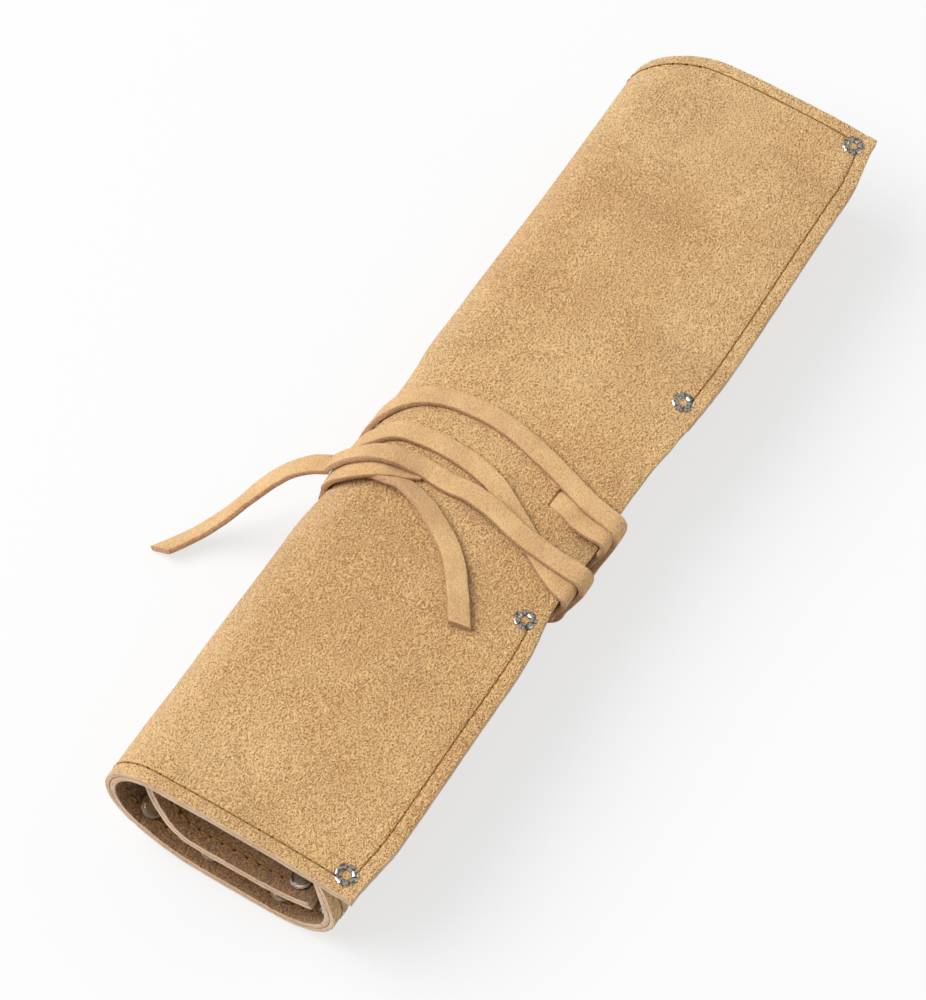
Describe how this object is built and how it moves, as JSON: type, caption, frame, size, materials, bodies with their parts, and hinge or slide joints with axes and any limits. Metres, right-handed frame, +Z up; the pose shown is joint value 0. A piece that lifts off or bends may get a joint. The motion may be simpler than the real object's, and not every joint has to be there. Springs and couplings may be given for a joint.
{
  "type": "pencil roll",
  "caption": "Suede pencil roll, rolled up flat and tied round the middle with a leather lace, with riveted and stitched pocket panels inside both ends.",
  "frame": {"origin": "on the ground under the middle of the tied roll", "axes": "+X along the roll towards the far end, +Y towards the closed fold, -Y towards the flap's free edge, +Z up"},
  "size_m": [0.33, 0.139, 0.049],
  "materials": {
    "sheet_suede": "napped tan suede, mottled, with paler cut edges",
    "pocket_suede": "napped suede, a little darker inside the roll",
    "lace_suede": "flat suede lace",
    "thread": "dark gold sewing thread",
    "rivet_nickel": "nickel-plated split rivets"
  },
  "bodies": {
    "roll": {"outer_sheet": "sheet_suede", "pocket_panel_far": "pocket_suede", "pocket_panel_near": "pocket_suede", "rivet_far_divider_1_end": "rivet_nickel", "rivet_far_divider_1_mouth": "rivet_nickel", "rivet_far_divider_2_end": "rivet_nickel", "rivet_far_divider_2_mouth": "rivet_nickel", "rivet_far_divider_3_end": "rivet_nickel", "rivet_far_divider_3_mouth": "rivet_nickel", "rivet_far_divider_4_end": "rivet_nickel", "rivet_far_divider_4_mouth": "rivet_nickel", "rivet_far_flap_edge_end": "rivet_nickel", "rivet_far_flap_edge_mouth": "rivet_nickel", "rivet_far_inner_edge_end": "rivet_nickel", "rivet_far_inner_edge_mouth": "rivet_nickel", "rivet_near_divider_1_end": "rivet_nickel", "rivet_near_divider_1_mouth": "rivet_nickel", "rivet_near_divider_2_end": "rivet_nickel", "rivet_near_divider_2_mouth": "rivet_nickel", "rivet_near_divider_3_end": "rivet_nickel", "rivet_near_divider_3_mouth": "rivet_nickel", "rivet_near_divider_4_end": "rivet_nickel", "rivet_near_divider_4_mouth": "rivet_nickel", "rivet_near_divider_5_end": "rivet_nickel", "rivet_near_divider_5_mouth": "rivet_nickel", "rivet_near_divider_6_end": "rivet_nickel", "rivet_near_divider_6_mouth": "rivet_nickel", "rivet_near_flap_edge_end": "rivet_nickel", "rivet_near_flap_edge_mouth": "rivet_nickel", "rivet_near_inner_edge_end": "rivet_nickel", "rivet_near_inner_edge_mouth": "rivet_nickel", "seam_far_divider_1": "thread", "seam_far_divider_2": "thread", "seam_far_divider_3": "thread", "seam_far_divider_4": "thread", "seam_far_end": "thread", "seam_far_flap_edge": "thread", "seam_far_inner_edge": "thread", "seam_near_divider_1": "thread", "seam_near_divider_2": "thread", "seam_near_divider_3": "thread", "seam_near_divider_4": "thread", "seam_near_divider_5": "thread", "seam_near_divider_6": "thread", "seam_near_end": "thread", "seam_near_flap_edge": "thread", "seam_near_inner_edge": "thread", "tie_knot": "lace_suede", "tie_wrap_far": "lace_suede", "tie_wrap_near": "lace_suede"},
    "tail_left": {"tie_tail_left": "lace_suede"},
    "tail_top": {"tie_tail_top": "lace_suede"}
  },
  "joints": [
    {"name": "tail_left_lift", "type": "hinge", "parent": "roll", "child": "tail_left", "pos_m": [-0.03758, 0.04515, 0.04054], "axis": [0.9363, 0.3316, -0.1157], "range_deg": [0, 75]},
    {"name": "tail_top_lift", "type": "hinge", "parent": "roll", "child": "tail_top", "pos_m": [-0.0353, 0.02503, 0.0467], "axis": [-1, 0, 0], "range_deg": [0, 85]}
  ]
}
